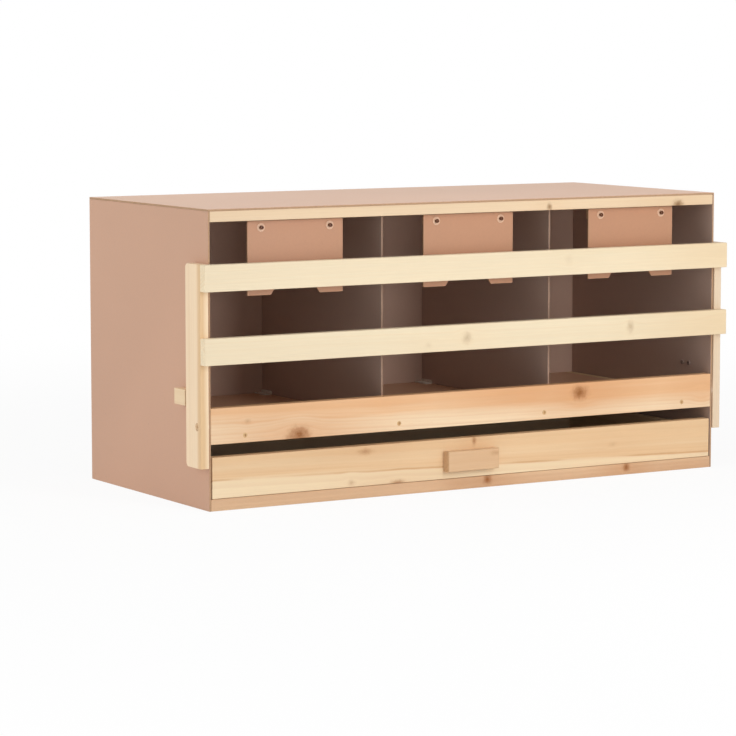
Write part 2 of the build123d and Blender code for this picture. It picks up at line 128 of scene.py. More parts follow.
def hardboard_group():
    """Pressed wood fibre: a smooth face, a face with the print of the screen, and sawn edges."""
    screen_pitch = 0.0022
    rubbed_rim = 0.004
    inputs = {
        "Vector": (0.0, 0.0, 0.0),
        "Normal": (0.0, 0.0, 1.0),
        "Across": (0.0, 0.0, 1.0),
        "Half Size": (0.5, 0.5, 0.5),
        "Smooth": (0.5, 0.3, 0.2, 1.0),
        "Screen": (0.4, 0.3, 0.2, 1.0),
        "Sawn": (0.4, 0.3, 0.2, 1.0),
    }
    tree, given, result = group("hardboard", inputs, surface)
    place = given["Vector"]
    facing = vectors(tree, "DOT_PRODUCT", given["Normal"], given["Across"])
    sawn = ramp(tree, maths(tree, "ABSOLUTE", facing), 0.45, 0.8, 1.0, 0.0)
    inner = ramp(tree, facing, -0.1, 0.1, 1.0, 0.0)
    across = vectors(tree, "ABSOLUTE", given["Across"])
    gaps = vectors(tree, "SUBTRACT", given["Half Size"], vectors(tree, "ABSOLUTE", place))
    gaps = split(tree, vectors(tree, "ADD", gaps, across))
    from_rim = maths(tree, "MINIMUM", maths(tree, "MINIMUM", gaps[0], gaps[1]), gaps[2])
    clouds = noise(tree, place, (3.0, 3.0, 3.0), 3.0)[0]
    mottle = noise(tree, place, (240.0, 240.0, 240.0))[0]
    curls = noise(tree, place, (170.0, 170.0, 170.0), 1.0)[0]
    hair = ramp(tree, maths(tree, "ABSOLUTE", maths(tree, "SUBTRACT", curls, 0.5)), 0.0, 0.02, 1.0, 0.0)
    fleck = ramp(tree, noise(tree, place, (620.0, 620.0, 620.0), 1.0)[0], 0.68, 0.76)
    light = maths(tree, "ADD", line(tree, clouds, 0.92, 1.08), line(tree, mottle, -0.03, 0.03))
    light = maths(tree, "SUBTRACT", light, maths(tree, "MULTIPLY", hair, 0.035))
    light = maths(tree, "SUBTRACT", light, maths(tree, "MULTIPLY", fleck, 0.06))
    face = shaded(tree, mix(tree, inner, given["Smooth"], given["Screen"]), light)
    patchy = ramp(tree, noise(tree, place, (35.0, 35.0, 35.0))[0], 0.45, 0.65, 0.0, 0.4)
    rubbed = maths(tree, "MULTIPLY", ramp(tree, from_rim, 0.0, rubbed_rim, 1.0, 0.0), patchy)
    face = mix(tree, rubbed, face, given["Sawn"])
    cut = shaded(tree, given["Sawn"], line(tree, mottle, 0.75, 1.2))
    tree.links.new(mix(tree, sawn, face, cut), result["Color"])
    rough = maths(tree, "ADD", line(tree, mottle, 0.36, 0.52), maths(tree, "MULTIPLY", inner, 0.22))
    rough = maths(tree, "ADD", rough, maths(tree, "MULTIPLY", sawn, 0.2))
    tree.links.new(rough, result["Roughness"])
    wires = vectors(tree, "SINE", scaled(tree, place, 2.0 * math.pi / screen_pitch))
    weave = vectors(tree, "DOT_PRODUCT", wires, vectors(tree, "SUBTRACT", (1.0, 1.0, 1.0), across))
    height = maths(tree, "ADD", mottle, maths(tree, "MULTIPLY", hair, 0.3))
    print_of_screen = maths(tree, "MULTIPLY", maths(tree, "MULTIPLY", weave, inner), 0.12)
    height = maths(tree, "ADD", height, print_of_screen)
    tree.links.new(height, result["Height"])
    return tree


hardboard = hardboard_group()


def put_on(node_name, made):
    """Give a CAD node one material in place of its own."""
    for one in nodes[node_name].material_slots:
        one.link = "OBJECT"
        one.material = made


def material(name):
    """A new material: its tree, its shader and the coordinates of the piece itself."""
    made = bpy.data.materials.new(name)
    made.use_nodes = True
    tree = made.node_tree
    return made, tree, tree.nodes["Principled BSDF"].inputs, tree.nodes.new("ShaderNodeTexCoord").outputs


def centred(tree, coordinates, node_name, turn=(0.0, 0.0, 0.0)):
    """Coordinates that start in the middle of a CAD node and are turned with its grain."""
    low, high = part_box(node_name)
    values = {"Vector": coordinates["Object"], "Location": (low + high) / 2, "Rotation": turn}
    return add(tree, "ShaderNodeMapping", values, vector_type="TEXTURE").outputs[0]


def dress(tree, shader, which, values, bump, reach):
    """Lead a group's colour, roughness and height into the shader."""
    look = add(tree, "ShaderNodeGroup", values, node_tree=which).outputs
    tree.links.new(look["Color"], shader["Base Color"])
    tree.links.new(look["Roughness"], shader["Roughness"])
    raised = add(tree, "ShaderNodeBump", {"Strength": bump, "Distance": reach, "Height": look["Height"]})
    tree.links.new(raised.outputs[0], shader["Normal"])


def board_material(node_name, across, smooth, screen, sawn):
    """Hardboard for one panel. Across points out of its smooth face."""
    made, tree, shader, coordinates = material(node_name + "_hardboard")
    low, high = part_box(node_name)
    values = {
        "Vector": centred(tree, coordinates, node_name),
        "Normal": coordinates["Normal"],
        "Across": across,
        "Half Size": (high - low) / 2,
        "Smooth": smooth,
        "Screen": screen,
        "Sawn": sawn,
    }
    dress(tree, shader, hardboard, values, bump=0.12, reach=0.0004)
    put_on(node_name, made)


smooth_brown = tone(204, 159, 130)
screen_brown = tone(190, 160, 142)
sawn_brown = tone(184, 147, 114)
board_material("left_side_panel", (-1, 0, 0), smooth_brown, screen_brown, sawn_brown)
board_material("right_side_panel", (1, 0, 0), smooth_brown, tone(187, 163, 150), sawn_brown)
# The top gets a paler brown than the sides: painted light, for the top taking more of the overhead light.
board_material("top_panel", (0, 0, 1), tone(226, 181, 149), screen_brown, sawn_brown)
board_material("back_panel", (0, 1, 0), smooth_brown, tone(197, 165, 147), sawn_brown)


# Dividers and nest floor: the same hardboard with its duller face to the nests, and a paler sheet
# for the floor. The dividers stand on the floor, and the floor lies on battens behind the sill.
nest_brown = tone(185, 162, 150)
floor_brown = tone(220, 176, 143)
divider_sawn = tone(160, 130, 110)
board_material("left_divider", (-1, 0, 0), nest_brown, screen_brown, divider_sawn)
board_material("right_divider", (-1, 0, 0), nest_brown, screen_brown, divider_sawn)
board_material("nest_floor", (0, 0, 1), floor_brown, screen_brown, divider_sawn)


# Front rails and sill of the casing: planed pine between the side panels, pinned through them.
# Every board is cut from its own place in the log, so rings, heartwood and knots differ.
def combine(tree, x, y, z):
    return add(tree, "ShaderNodeCombineXYZ", {0: x, 1: y, 2: z}).outputs[0]


def bell(tree, value, sharpness):
    """1 where the value is 0, and fading to 0 on both sides."""
    square = maths(tree, "MULTIPLY", value, value)
    return maths(tree, "EXPONENT", maths(tree, "MULTIPLY", square, -sharpness))


knot_marks = ("Bend", "Body", "Core", "Halo")


def knot_group():
    """One branch through a board: the rings part round it, and resin tints the wood along it.
    With no darkness the tint alone is also used as painted shade at a board's end.
    """
    inputs = {
        "Vector": (0.0, 0.0, 0.0),
        "Place": (0.0, 0.0, 0.0),
        "Radius": 0.006,
        "Stretch": 1.0,
        "Strength": 1.0,
        "Resin And End Shade": 1.0,
        **{mark: 0.0 for mark in knot_marks},
    }
    tree, given, result = group("knot", inputs, {mark: "Float" for mark in knot_marks})
    apart = split(tree, vectors(tree, "SUBTRACT", given["Vector"], given["Place"]))
    along = maths(tree, "DIVIDE", apart[0], given["Stretch"])
    from_branch = vectors(tree, "LENGTH", combine(tree, along, 0.0, apart[2]))
    ring = maths(tree, "DIVIDE", from_branch, given["Radius"])
    ragged = noise(tree, given["Vector"], (160.0, 160.0, 160.0), 3.0)[0]
    reach = maths(tree, "ADD", ring, line(tree, ragged, -0.4, 0.4))
    years = line(tree, maths(tree, "SINE", maths(tree, "MULTIPLY", reach, 11.0)), 0.8, 1.0)
    body = maths(tree, "MULTIPLY", ramp(tree, reach, 0.1, 1.4, 1.0, 0.0), years)
    body = maths(tree, "MULTIPLY", body, given["Strength"])
    core = maths(tree, "MULTIPLY", ramp(tree, reach, 0.0, 0.9, 1.0, 0.0), given["Strength"])
    drawn_out = combine(tree, maths(tree, "DIVIDE", along, 4.0), 0.0, maths(tree, "DIVIDE", apart[2], 1.6))
    far = maths(tree, "DIVIDE", vectors(tree, "LENGTH", drawn_out), given["Radius"])
    halo = maths(tree, "MULTIPLY", bell(tree, far, 0.3), given["Resin And End Shade"])
    bend = maths(tree, "MULTIPLY", maths(tree, "MULTIPLY", apart[2], bell(tree, ring, 0.35)), -0.7)
    tree.links.new(maths(tree, "ADD", given["Bend"], bend), result["Bend"])
    for mark, grown in (("Body", body), ("Core", core), ("Halo", halo)):
        tree.links.new(maths(tree, "MAXIMUM", given[mark], grown), result[mark])
    return tree


def one_way_noise(tree, value, detail):
    values = {"W": value, "Scale": 1.0, "Detail": detail}
    return add(tree, "ShaderNodeTexNoise", values, noise_dimensions="1D").outputs[0]


def pine_group():
    """Planed pine: growth rings about a pith, heartwood, streaks, knots and end grain."""
    feather_depth = 0.0006
    heart_blend = 0.005
    seam_width = 0.0014
    inputs = {
        "Vector": (0.0, 0.0, 0.0),
        "Normal": (0.0, 0.0, 1.0),
        "Grain": (1.0, 0.0, 0.0),
        "Pith": (0.0, 0.05, 0.05),
        "Slope": (0.0, 0.0, 0.0),
        "Ring Width": 0.004,
        "Wander": 0.01,
        "Heart Radius": 0.03,
        "Lines": 0.2,
        "Seam": 0.1,
        "Streaks": 0.4,
        "End Light": 0.9,
        "Seed": 0.0,
        **{mark: 0.0 for mark in knot_marks},
        "Sapwood": (0.8, 0.7, 0.5, 1.0),
        "Heartwood": (0.8, 0.6, 0.4, 1.0),
        "Latewood": (0.6, 0.4, 0.2, 1.0),
        "Knotwood": (0.3, 0.15, 0.07, 1.0),
    }
    tree, given, result = group("pine", inputs, surface)
    seed = given["Seed"]
    shifted = vectors(tree, "ADD", given["Vector"], combine(tree, seed, seed, 0.0))
    wander = vectors(tree, "SUBTRACT", noise(tree, shifted, (1.6, 10.0, 10.0))[1], (0.5, 0.5, 0.5))
    from_pith = vectors(tree, "ADD", given["Vector"], scaled(tree, wander, given["Wander"]))
    from_pith = vectors(tree, "ADD", from_pith, combine(tree, 0.0, 0.0, given["Bend"]))
    rise = scaled(tree, given["Slope"], split(tree, given["Vector"])[0])
    pith = vectors(tree, "ADD", given["Pith"], rise)
    from_pith = vectors(tree, "SUBTRACT", from_pith, pith)
    radius = vectors(tree, "LENGTH", vectors(tree, "MULTIPLY", from_pith, (0.0, 1.0, 1.0)))
    feather = noise(tree, shifted, (45.0, 420.0, 420.0))[0]
    radius = maths(tree, "ADD", radius, line(tree, feather, -feather_depth, feather_depth))
    turns = maths(tree, "DIVIDE", radius, given["Ring Width"])
    uneven = one_way_noise(tree, maths(tree, "ADD", maths(tree, "MULTIPLY", turns, 0.4), seed), 1.0)
    turns = maths(tree, "ADD", turns, line(tree, uneven, -1.2, 1.2))
    phase = maths(tree, "FRACT", turns)
    late = maths(tree, "MULTIPLY", ramp(tree, phase, 0.1, 0.85), ramp(tree, phase, 0.86, 1.0, 1.0, 0.0))
    year = maths(tree, "ADD", maths(tree, "MULTIPLY", maths(tree, "FLOOR", turns), 1.37), seed)
    late = maths(tree, "MULTIPLY", late, ramp(tree, one_way_noise(tree, year, 0.0), 0.3, 0.75, 0.1, 1.0))
    edge = maths(tree, "SUBTRACT", radius, given["Heart Radius"])
    heart = ramp(tree, edge, -heart_blend, heart_blend, 1.0, 0.0)
    broken = ramp(tree, noise(tree, shifted, (6.0, 60.0, 60.0))[0], 0.3, 0.6)
    seam = maths(tree, "MULTIPLY", bell(tree, maths(tree, "DIVIDE", edge, seam_width), 1.0), broken)
    fibre = noise(tree, shifted, (26.0, 760.0, 760.0), 3.0)[0]
    patches = noise(tree, shifted, (3.5, 30.0, 30.0))[0]
    streak = ramp(tree, noise(tree, shifted, (1.5, 75.0, 75.0))[0], 0.3, 0.7, -0.5, 0.5)
    spell = maths(tree, "ADD", maths(tree, "MULTIPLY", turns, 0.23), seed)
    spell = ramp(tree, one_way_noise(tree, spell, 1.0), 0.3, 0.7, -0.5, 0.5)
    bands = maths(tree, "MULTIPLY", maths(tree, "ADD", streak, spell), given["Streaks"])
    wood = mix(tree, maths(tree, "ADD", heart, bands), given["Sapwood"], given["Heartwood"])
    wood = mix(tree, maths(tree, "MULTIPLY", given["Halo"], 0.7), wood, given["Latewood"])
    light = maths(tree, "ADD", line(tree, patches, 0.95, 1.05), line(tree, fibre, -0.05, 0.05))
    wood = shaded(tree, wood, light)
    lines = maths(tree, "MULTIPLY", late, given["Lines"])
    lines = maths(tree, "MULTIPLY", lines, line(tree, fibre, 0.5, 1.5))
    lines = maths(tree, "MAXIMUM", lines, maths(tree, "MULTIPLY", seam, given["Seam"]))
    dashes = ramp(tree, noise(tree, shifted, (70.0, 1500.0, 1500.0), 1.0)[0], 0.7, 0.8, 0.0, 0.25)
    wood = mix(tree, maths(tree, "MAXIMUM", lines, dashes), wood, given["Latewood"])
    wood = mix(tree, given["Body"], wood, given["Knotwood"])
    dark_core = shaded(tree, given["Knotwood"], 0.62, 1.1)
    wood = mix(tree, maths(tree, "MULTIPLY", given["Core"], 0.6), wood, dark_core)
    end = maths(tree, "ABSOLUTE", vectors(tree, "DOT_PRODUCT", given["Normal"], given["Grain"]))
    end = ramp(tree, end, 0.5, 0.85)
    pores = maths(tree, "MULTIPLY", given["End Light"], line(tree, feather, 0.85, 1.15))
    ringed = mix(tree, maths(tree, "MULTIPLY", late, 0.3), wood, given["Latewood"])
    wood = mix(tree, end, wood, shaded(tree, ringed, pores))
    tree.links.new(wood, result["Color"])
    rough = maths(tree, "SUBTRACT", line(tree, fibre, 0.5, 0.66), maths(tree, "MULTIPLY", late, 0.08))
    rough = maths(tree, "SUBTRACT", rough, maths(tree, "MULTIPLY", given["Body"], 0.15))
    rough = maths(tree, "ADD", rough, maths(tree, "MULTIPLY", end, 0.2))
    tree.links.new(rough, result["Roughness"])
    height = maths(tree, "ADD", fibre, maths(tree, "MULTIPLY", late, 0.4))
    height = maths(tree, "SUBTRACT", height, maths(tree, "MULTIPLY", given["Core"], 0.6))
    tree.links.new(height, result["Height"])
    return tree


knot = knot_group()
pine = pine_group()
knotwood = tone(168, 105, 50)
lie_along_x = (0.0, 0.0, 0.0)
lie_along_y = (0.0, 0.0, math.radians(90))
stand_along_z = (math.radians(-90), math.radians(-90), 0.0)
grain_of = {lie_along_x: (1, 0, 0), lie_along_y: (0, 1, 0), stand_along_z: (0, 0, 1)}


def pine_material(node_name, lie, cut, knots_and_end_shade=()):
    """Pine for one piece. A knot is given by its places along and up the board in millimetres
    from the middle, its radius, its stretch along the grain, its darkness and its resin tint.
    An entry with no darkness near a board's right end lays only the tint, as painted shade."""
    made, tree, shader, coordinates = material(node_name + "_pine")
    board = centred(tree, coordinates, node_name, lie)
    values = {"Normal": coordinates["Normal"], "Grain": grain_of[lie], "Knotwood": knotwood, **cut}
    values["Vector"] = board
    for along, up, size, stretch, strength, resin in knots_and_end_shade:
        branch = {
            "Vector": board,
            "Place": (along / 1000, 0.0, up / 1000),
            "Radius": size / 1000,
            "Stretch": stretch,
            "Strength": strength,
            "Resin And End Shade": resin,
        }
        branch.update({mark: values[mark] for mark in knot_marks if mark in values})
        grown = add(tree, "ShaderNodeGroup", branch, node_tree=knot).outputs
        values.update({mark: grown[mark] for mark in knot_marks})
    dress(tree, shader, pine, values, bump=0.3, reach=0.0005)
    put_on(node_name, made)


sill_cut = {
    "Sapwood": tone(243, 217, 181),
    "Heartwood": tone(234, 188, 142),
    "Latewood": tone(214, 150, 96),
    "Pith": (0.0, 0.04, 0.05),
    "Slope": (0.0, 0.0, -0.018),
    "Ring Width": 0.0052,
    "Wander": 0.014,
    "Heart Radius": 0.0735,
    "Lines": 0.22,
    "Seam": 0.3,
    "Streaks": 0.5,
    "Seed": 2.3,
}
sill_knots_and_end_shade = [
    (-311.0, -21.0, 13.5, 1.5, 1.0, 0.8),
    (-322.0, -24.0, 9.0, 2.0, 0.5, 0.4),
    (203.0, 11.5, 12.5, 1.35, 1.0, 0.9),
    (-400.0, 5.0, 5.0, 1.5, 0.2, 0.4),
    (105.0, 16.0, 9.0, 2.2, 0.0, 0.8),
    (-160.0, 18.0, 7.0, 2.0, 0.0, 0.4),
    # At 445 mm no knot: only a tint, painted shade where the light falls off towards the right end.
    (445.0, 0.0, 12.0, 1.0, 0.0, 0.5),
]
pine_material("front_sill", lie_along_x, sill_cut, sill_knots_and_end_shade)
top_rail_cut = {
    "Sapwood": tone(230, 203, 168),
    "Heartwood": tone(224, 190, 152),
    "Latewood": tone(216, 174, 124),
    "Knotwood": tone(148, 106, 62),
    "Pith": (0.0, 0.06, 0.08),
    "Ring Width": 0.005,
    "Lines": 0.16,
    "Streaks": 0.5,
    "Seed": 5.1,
}
top_rail_knots = [(142.0, -3.0, 7.5, 0.7, 0.7, 0.2), (393.0, -6.5, 9.0, 1.3, 0.85, 0.3)]
pine_material("top_front_rail", lie_along_x, top_rail_cut, top_rail_knots)
bottom_rail_cut = {
    "Sapwood": tone(230, 196, 157),
    "Heartwood": tone(214, 175, 138),
    "Latewood": tone(196, 142, 98),
    "Pith": (0.0, 0.03, -0.05),
    "Slope": (0.0, 0.0, 0.006),
    "Ring Width": 0.0042,
    "Heart Radius": 0.2,
    "Lines": 0.28,
    "Streaks": 0.8,
    "Seed": 7.7,
}
bottom_rail_knots_and_end_shade = [
    (28.0, 3.0, 9.5, 0.9, 1.0, 0.6),
    (295.0, 3.0, 8.0, 1.0, 0.95, 0.7),
    (-15.0, 0.0, 6.0, 1.0, 0.0, 0.5),
    # At 430 mm no knot: only a tint, painted shade where the light falls off towards the right end.
    (430.0, 0.0, 12.0, 1.2, 0.0, 0.35),
]
pine_material("bottom_front_rail", lie_along_x, bottom_rail_cut, bottom_rail_knots_and_end_shade)


# Battens, cleats, runners and back rails: the rougher pine that carries the floor, the top and
# the drawer inside the casing, pinned through the panels.
plain_pine = {
    "Sapwood": tone(236, 211, 175),
    "Heartwood": tone(228, 192, 150),
    "Latewood": tone(206, 158, 110),
}
along_casing = ["floor_front_batten", "floor_back_batten", "top_back_batten", "bottom_back_rail"]
along_depth = ["left_floor_cleat", "right_floor_cleat"]
along_depth += [side + "_drawer_runner" for side in ("left", "middle", "right")]
carriers = [(name, lie_along_x) for name in along_casing] + [(name, lie_along_y) for name in along_depth]
for index, (node_name, lie) in enumerate(carriers):
    carrier_cut = {
        **plain_pine,
        "Pith": (0.0, 0.03 + 0.004 * index, 0.06 - 0.011 * index),
        "Lines": 0.3,
        "Seed": 11.0 + 1.7 * index,
    }
    pine_material(node_name, lie, carrier_cut, [(60.0 - 37.0 * index, 1.0, 3.5, 1.2, 0.6, 0.5)])


# Perch stops: two offcuts of pine screwed on from inside the casing, one outside each panel.
# The tail of a lowered arm comes to rest under its stop.
for index, node_name in enumerate(("left_perch_stop", "right_perch_stop")):
    stop_cut = {
        **plain_pine,
        "Sapwood": tone(240, 213, 174),
        "Pith": (0.0, 0.03, 0.03),
        "Heart Radius": 0.02,
        "Seed": 31.0 + 2.9 * index,
    }
    pine_material(node_name, lie_along_y, stop_cut)


# Screws and pins: brass-coloured countersunk screws in the sill and the arms, small dark screws
# through the flaps, screws of the perch stops lacquered a dark brown that matches the walls in the
# shade inside the casing (painted shade), and panel pins lacquered to match the board but left bare on the
# back.
def metal_group():
    """Fine mottling and handling marks on a small metal piece."""
    inputs = {"Vector": (0.0, 0.0, 0.0), "Bright": (0.5, 0.5, 0.5, 1.0), "Dull": (0.3, 0.3, 0.3, 1.0)}
    tree, given, result = group("metal", inputs, surface)
    patches = ramp(tree, noise(tree, given["Vector"], (500.0, 500.0, 500.0), 3.0)[0], 0.35, 0.65)
    grit = noise(tree, given["Vector"], (2600.0, 2600.0, 2600.0))[0]
    tree.links.new(mix(tree, patches, given["Bright"], given["Dull"]), result["Color"])
    rough = maths(tree, "ADD", line(tree, patches, 0.3, 0.46), line(tree, grit, -0.05, 0.05))
    tree.links.new(rough, result["Roughness"])
    tree.links.new(grit, result["Height"])
    return tree


metal = metal_group()


def metal_material(name, bright, dull, metallic, bare_back=None):
    """A small metal piece. Where it looks to the back it may have another colour."""
    made, tree, shader, coordinates = material(name)
    shader["Metallic"].default_value = metallic
    if bare_back:
        to_back = ramp(tree, split(tree, coordinates["Normal"])[1], 0.4, 0.8)
        bright = mix(tree, to_back, bright, bare_back)
        dull = mix(tree, to_back, dull, shaded(tree, bare_back, 0.75))
    values = {"Vector": coordinates["Object"], "Bright": bright, "Dull": dull}
    dress(tree, shader, metal, values, bump=0.2, reach=0.00005)
    return made


# How much bare metal shows through each coat
lacquer = 0.0
passivated = 0.05
zinc_plated = 0.1
sill_steel = metal_material("dull_passivated_steel", tone(222, 182, 130), tone(202, 162, 114), passivated)
passivated_steel = metal_material(
    "yellow_passivated_steel", tone(232, 200, 156), tone(216, 182, 138), passivated
)
dark_steel = metal_material("dark_steel", tone(118, 64, 26), tone(94, 50, 20), lacquer)
bare_steel = tone(196, 190, 182)
lacquered_pin = metal_material("panel_pin", tone(200, 156, 127), tone(192, 149, 121), lacquer, bare_steel)
# The stop screws get a dark brown matched to the walls in the shade inside the casing: painted shade.
shade_matched_stop_screw = metal_material("shade_matched_stop_screw_lacquer", tone(140, 118, 106), tone(133, 112, 101), lacquer)
for node_name in ("left_pivot_screw", "right_pivot_screw", "handle_screws"):
    put_on(node_name, passivated_steel)
put_on("sill_screws", sill_steel)
put_on("flap_screws", dark_steel)
put_on("panel_brads", lacquered_pin)
put_on("perch_stop_screws", shade_matched_stop_screw)


# Divider brackets: a small angle of bent zinc-plated strip at the left foot of each divider. Two
# blind rivets hold its foot to the floor, and the low rise keeps the divider in place.
bracket_foot = 0.015
bracket_gauge = 0.0015
bracket_low, bracket_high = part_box("divider_brackets")
bend_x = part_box("left_divider")[0].x
foot_z = bracket_low.z
bracket_rise = bracket_high.z - bracket_low.z
strip_middle = (bracket_low.y + bracket_high.y) / 2
outer_bend = 0.0014
inner_bend = 0.0007
corner_round = 0.003
corner_steps = 5
bend_steps = 4
rivet_spread = 0.009
rivet_ys = (strip_middle - rivet_spread, strip_middle + rivet_spread)
rivet_reach = 0.0088
rivet_hole = 0.0019
drill_length = 0.008
rivet_radius = 0.0028
rivet_height = 0.0012
rivet_round = 0.0009
rivet_rim = 0.0008
rivet_dish = 0.0005
round_sides = 24


def apply_place(made):
    """Put an object's place, turn and size into its mesh."""
    bpy.ops.object.select_all(action="DESELECT")
    made.select_set(True)
    bpy.context.view_layer.objects.active = made
    bpy.ops.object.transform_apply(location=True, rotation=True, scale=True)


def select_where(made, faces=None, edges=None):
    """Select, for the next operator, the faces or the edges that a test on their points accepts."""
    bpy.ops.object.mode_set(mode="EDIT")
    bpy.ops.mesh.select_mode(type="FACE" if faces else "EDGE")
    bpy.ops.mesh.select_all(action="DESELECT")
    bpy.ops.object.mode_set(mode="OBJECT")
    corners = made.data.vertices
    test = faces or edges
    for part in made.data.polygons if faces else made.data.edges:
        part.select = test([corners[index].co for index in part.vertices])
    bpy.ops.object.mode_set(mode="EDIT")


hair_width = 1e-5


def near(value, wanted):
    return abs(value - wanted) < hair_width


bpy.ops.mesh.primitive_cube_add(size=1.0)
bracket = bpy.context.object
bracket.name = "left_divider_bracket"
bracket.scale = (bracket_foot, bracket_high.y - bracket_low.y, bracket_gauge)
bracket.location = (bend_x - bracket_foot / 2, strip_middle, foot_z + bracket_gauge / 2)
apply_place(bracket)
bpy.ops.object.mode_set(mode="EDIT")
bpy.ops.mesh.select_all(action="SELECT")
bpy.ops.mesh.bisect(plane_co=(bend_x - bracket_gauge, 0.0, 0.0), plane_no=(1.0, 0.0, 0.0))
select_where(
    bracket,
    faces=lambda points: all(
        near(point.z, foot_z + bracket_gauge) and point.x > bend_x - bracket_gauge - hair_width
        for point in points
    ),
)
bent_up = (0.0, 0.0, bracket_rise - bracket_gauge)
bpy.ops.mesh.extrude_region_move(TRANSFORM_OT_translate={"value": bent_up})
select_where(
    bracket, edges=lambda points: all(near(point.x, bend_x) and near(point.z, foot_z) for point in points)
)
bpy.ops.mesh.bevel(offset=outer_bend, segments=bend_steps)
select_where(
    bracket,
    edges=lambda points: all(
        near(point.x, bend_x - bracket_gauge) and near(point.z, foot_z + bracket_gauge) for point in points
    ),
)
bpy.ops.mesh.bevel(offset=inner_bend, segments=bend_steps)
select_where(
    bracket,
    edges=lambda points: near(points[0].y, points[1].y) and all(
        near(point.x, bend_x - bracket_foot) or near(point.z, foot_z + bracket_rise) for point in points
    ),
)
bpy.ops.mesh.bevel(offset=corner_round, segments=corner_steps)
bpy.ops.object.mode_set(mode="OBJECT")
rivet_places = [(bend_x - rivet_reach, rivet_y, foot_z + bracket_gauge) for rivet_y in rivet_ys]
for place in rivet_places:
    bpy.ops.mesh.primitive_cylinder_add(
        vertices=round_sides, radius=rivet_hole, depth=drill_length, location=place
    )
    drill = bpy.context.object
    hole = bracket.modifiers.new("hole", "BOOLEAN")
    hole.object = drill
    hole.operation = "DIFFERENCE"
    bpy.context.view_layer.objects.active = bracket
    bpy.ops.object.modifier_apply(modifier="hole")
    bpy.data.objects.remove(drill)
bpy.ops.object.select_all(action="DESELECT")
bpy.ops.mesh.primitive_cylinder_add(vertices=round_sides, radius=rivet_radius, depth=rivet_height)
rivet = bpy.context.object
rivet.location.z = rivet_height / 2
apply_place(rivet)
select_where(rivet, edges=lambda points: all(near(point.z, rivet_height) for point in points))
bpy.ops.mesh.bevel(offset=rivet_round, segments=bend_steps)
select_where(rivet, faces=lambda points: all(near(point.z, rivet_height) for point in points))
bpy.ops.mesh.inset(thickness=rivet_rim)
bpy.ops.mesh.extrude_region_move(TRANSFORM_OT_translate={"value": (0.0, 0.0, -rivet_dish)})
bpy.ops.object.mode_set(mode="OBJECT")
rivets = []
for place in rivet_places:
    copied = rivet.copy()
    copied.data = rivet.data.copy()
    bpy.context.scene.collection.objects.link(copied)
    copied.location = place
    apply_place(copied)
    rivets.append(copied)
bpy.data.objects.remove(rivet)
for made in rivets:
    made.select_set(True)
bracket.select_set(True)
bpy.context.view_layer.objects.active = bracket
bpy.ops.object.join()
smooth_below = math.radians(35)
bpy.ops.object.shade_smooth_by_angle(angle=smooth_below)
bright_zinc = metal_material("bright_zinc", tone(240, 234, 224), tone(222, 214, 202), zinc_plated)
bracket.data.materials.append(bright_zinc)
second_bracket = bracket.copy()
second_bracket.data = bracket.data.copy()
second_bracket.name = "right_divider_bracket"
bpy.context.scene.collection.objects.link(second_bracket)
second_bracket.location.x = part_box("right_divider")[0].x - bend_x
apply_place(second_bracket)
for made in (bracket, second_bracket):
    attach(made, "casing")
    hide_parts("divider_brackets")
bpy.ops.object.select_all(action="DESELECT")


# Flaps: hardboard with two feet, hung on a pair of screws through lacquered eyelets. A short pine
# block under the top takes the screws.
flap_smooth = tone(193, 142, 109)
lacquered_eyelet = metal_material("lacquered_eyelet", tone(225, 186, 156), tone(214, 174, 144), lacquer)
for index, side in enumerate(("left", "middle", "right")):
    block_cut = {
        **plain_pine,
        "Pith": (0.0, 0.05, 0.03 + 0.01 * index),
        "Heart Radius": 0.02,
        "Seed": 41.0 + 3.3 * index,
    }
    pine_material(side + "_flap_block", lie_along_x, block_cut)
    board_material(side + "_flap", (0, -1, 0), flap_smooth, screen_brown, sawn_brown)
    put_on(side + "_flap_eyelets", lacquered_eyelet)


# Perch frame: two pine arms that turn on a screw beside the casing, and two pale bars pinned
# across their front edges with dowels. A washer keeps each arm off its panel.
arm_cut = {
    "Sapwood": tone(249, 223, 188),
    "Heartwood": tone(228, 192, 146),
    "Latewood": tone(220, 180, 130),
    "Pith": (0.0, -0.024, -0.044),
    "Heart Radius": 0.033,
    "Wander": 0.004,
    "Lines": 0.16,
    "Streaks": 0.35,
    "Seed": 53.0,
}
pine_material("left_perch_arm", stand_along_z, arm_cut)
# The right arm gets darker, greyer pine than the left one: painted shade, for the light falling off
# towards the right of the box.
right_arm_cut = {
    **arm_cut,
    "Sapwood": tone(229, 207, 179),
    "Heartwood": tone(217, 188, 152),
    "Pith": (0.0, 0.06, 0.05),
    "Streaks": 0.1,
}
pine_material("right_perch_arm", stand_along_z, right_arm_cut)
bar_cut = {
    "Sapwood": tone(236, 219, 187),
    "Heartwood": tone(234, 209, 171),
    "Latewood": tone(228, 196, 150),
    "Knotwood": tone(194, 162, 122),
    "Pith": (0.0, 0.06, 0.12),
    "Ring Width": 0.006,
    "Wander": 0.014,
    "Lines": 0.14,
    "Streaks": 0.3,
    "End Light": 1.08,
    "Seed": 61.0,
}
